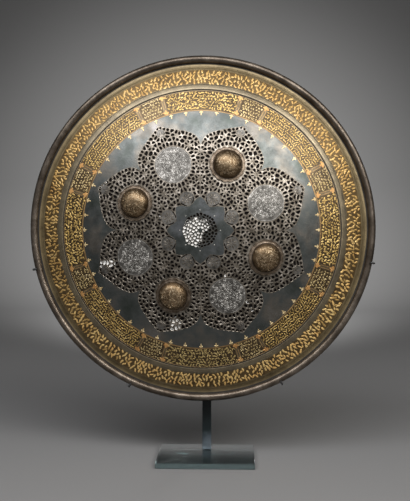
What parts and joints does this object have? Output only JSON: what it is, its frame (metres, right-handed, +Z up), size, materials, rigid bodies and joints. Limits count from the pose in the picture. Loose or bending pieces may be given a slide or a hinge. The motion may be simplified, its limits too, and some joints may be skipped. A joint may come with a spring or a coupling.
{
  "type": "domed round hand shield on a display stand",
  "caption": "Round domed steel shield with pierced rosette, gilt bands, rolled rim and riveted bosses, held upright by hooked arms on a square post with a glass foot.",
  "frame": {"origin": "centre of the underside of the glass base plate, on the surface that the stand rests on", "axes": "+Z up, the face of the shield looks along -Y, +X to the right of someone facing the shield"},
  "size_m": [0.46, 0.1226, 0.54],
  "materials": {
    "pierced_steel": "old blue-grey steel, dark and lightly polished on the plain field, paler and tan on the pierced work, brown-grey on the rim, with gold inlay in two bands",
    "gold_inlay": "thin gold laid on dark steel, rubbed through on the high spots",
    "boss_bronze": "russet-brown chased bronze with worn pale high spots",
    "lining_leather": "nearly black matt leather, flaked to a pale backing in places",
    "stand_steel": "smooth blue-black",
    "cradle_steel": "matt black",
    "base_glass": "clear, green-blue at the edges"
  },
  "bodies": {
    "root": {"shield_bowl": "pierced_steel", "lining": "lining_leather", "boss_upper_right": "boss_bronze", "boss_upper_left": "boss_bronze", "boss_lower_left": "boss_bronze", "boss_lower_right": "boss_bronze", "base_plate": "base_glass", "stand_post": "stand_steel", "lower_cradle_arm": "cradle_steel", "upper_cradle_arm": "cradle_steel"}
  },
  "joints": []
}
